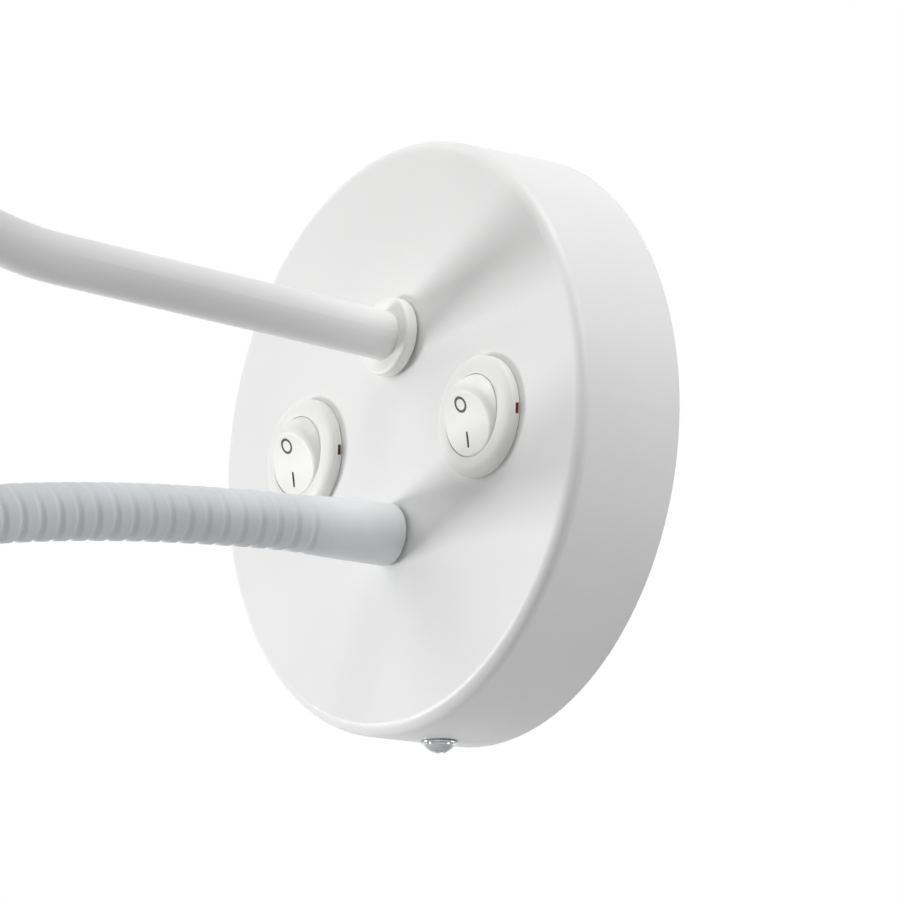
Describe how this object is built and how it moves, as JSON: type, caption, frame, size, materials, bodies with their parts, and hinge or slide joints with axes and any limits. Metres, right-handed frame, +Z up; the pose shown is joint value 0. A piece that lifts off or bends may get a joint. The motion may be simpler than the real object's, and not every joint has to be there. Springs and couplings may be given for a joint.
{
  "type": "wall light",
  "caption": "Bedside wall light: round white canopy with rocker switches, a bent tube arm with a drum shade, and a flexible neck with a reading head.",
  "frame": {"origin": "middle of the canopy on the wall face", "axes": "+Y into the wall, +X to the right seen from the room, +Z up"},
  "size_m": [0.16, 0.2828, 0.4023],
  "materials": {
    "bracket_steel": "zinc plated sheet",
    "brass": "plain",
    "rubber": "matt",
    "nylon": "moulded nylon",
    "zinc_screw": "zinc plated",
    "driver_plastic": "moulded",
    "white_coat": "fine white powder coat",
    "chrome": "polished",
    "switch_plastic": "moulded, slight gloss",
    "collar_plastic": "moulded",
    "steel": "zinc plated",
    "holder_plastic": "moulded",
    "shade_fabric": "white woven, lined",
    "lamp_cap": "rolled thread",
    "lamp_body": "moulded",
    "opal": "opal diffuser",
    "hose_sleeve": "white silicone sleeve",
    "heat_sink": "plain",
    "circuit_board": "white solder mask",
    "phosphor": "phosphor",
    "clear_lens": "clear"
  },
  "bodies": {
    "base": {"wall_bracket": "bracket_steel", "earth_screw": "brass", "cable_grommet": "rubber", "terminal_block": "nylon", "terminal_screws": "zinc_screw", "led_driver": "driver_plastic", "canopy": "white_coat", "hanging_clip": "bracket_steel", "cover_screw": "chrome", "left_switch_housing": "switch_plastic", "right_switch_housing": "switch_plastic", "left_switch_terminals": "brass", "right_switch_terminals": "brass", "arm_tube": "white_coat", "arm_nipple": "steel", "arm_collar": "collar_plastic", "arm_washer": "steel", "arm_nut": "steel", "holder_cap": "holder_plastic", "holder_body": "holder_plastic", "holder_shell": "brass", "holder_contact": "brass", "shade_clamp_ring": "holder_plastic", "shade_frame": "white_coat", "shade_top_ring": "white_coat", "shade_skin": "shade_fabric", "bulb_cap": "lamp_cap", "bulb_body": "lamp_body", "bulb_globe": "opal", "neck_sleeve": "white_coat", "neck_stud": "steel", "neck_washer": "steel", "neck_nut": "steel", "neck_hose_1": "hose_sleeve", "neck_core_1": "steel"},
    "left_rocker": {"left_rocker": "switch_plastic", "left_contact": "brass"},
    "right_rocker": {"right_rocker": "switch_plastic", "right_contact": "brass"},
    "neck_2": {"neck_hose_2": "hose_sleeve", "neck_core_2": "steel"},
    "neck_3": {"neck_hose_3": "hose_sleeve", "neck_core_3": "steel"},
    "neck_4": {"neck_hose_4": "hose_sleeve", "neck_core_4": "steel"},
    "neck_5": {"neck_hose_5": "hose_sleeve", "neck_core_5": "steel"},
    "neck_6": {"neck_hose_6": "hose_sleeve", "neck_core_6": "steel"},
    "reading_head": {"neck_hose_7": "hose_sleeve", "neck_core_7": "steel", "head_ferrule": "white_coat", "head_shell": "white_coat", "heat_sink": "heat_sink", "led_board": "circuit_board", "led_chip": "phosphor", "head_lens": "clear_lens", "head_bezel": "white_coat"}
  },
  "joints": [
    {"name": "left_rocker_tilt", "type": "hinge", "parent": "base", "child": "left_rocker", "pos_m": [-0.0294, -0.0234, -0.0003], "axis": [-1, 0, 0], "range_deg": [0, 32]},
    {"name": "right_rocker_tilt", "type": "hinge", "parent": "base", "child": "right_rocker", "pos_m": [0.0294, -0.0234, -0.0003], "axis": [-1, 0, 0], "range_deg": [0, 32]},
    {"name": "neck_bend_1", "type": "hinge", "parent": "base", "child": "neck_2", "pos_m": [0, -0.06279, -0.02044], "axis": [1, 0, 0], "range_deg": [-20, 25], "deforming": ["neck_hose_1", "neck_hose_2"]},
    {"name": "neck_swing_1", "type": "hinge", "parent": "neck_2", "child": "neck_3", "pos_m": [0, -0.09627, -0.02328], "axis": [0, -0.1167, 0.9932], "range_deg": [-25, 25], "deforming": ["neck_hose_2", "neck_hose_3"]},
    {"name": "neck_bend_2", "type": "hinge", "parent": "neck_3", "child": "neck_4", "pos_m": [0, -0.12942, -0.02865], "axis": [1, 0, 0], "range_deg": [-20, 25], "deforming": ["neck_hose_3", "neck_hose_4"]},
    {"name": "neck_swing_2", "type": "hinge", "parent": "neck_4", "child": "neck_5", "pos_m": [0, -0.16127, -0.03912], "axis": [0, -0.4179, 0.9085], "range_deg": [-25, 25], "deforming": ["neck_hose_4", "neck_hose_5"]},
    {"name": "neck_bend_3", "type": "hinge", "parent": "neck_5", "child": "neck_6", "pos_m": [0, -0.18971, -0.05686], "axis": [1, 0, 0], "range_deg": [-20, 25], "deforming": ["neck_hose_5", "neck_hose_6"]},
    {"name": "neck_swing_3", "type": "hinge", "parent": "neck_6", "child": "reading_head", "pos_m": [0, -0.21312, -0.08085], "axis": [0, -0.7902, 0.6129], "range_deg": [-25, 25], "deforming": ["neck_hose_6", "neck_hose_7"]}
  ],
  "couplings": [
    {"joint": "neck_bend_2", "follows": "neck_bend_1", "ratio": 1},
    {"joint": "neck_bend_3", "follows": "neck_bend_1", "ratio": 1},
    {"joint": "neck_swing_2", "follows": "neck_swing_1", "ratio": 1},
    {"joint": "neck_swing_3", "follows": "neck_swing_1", "ratio": 1}
  ]
}
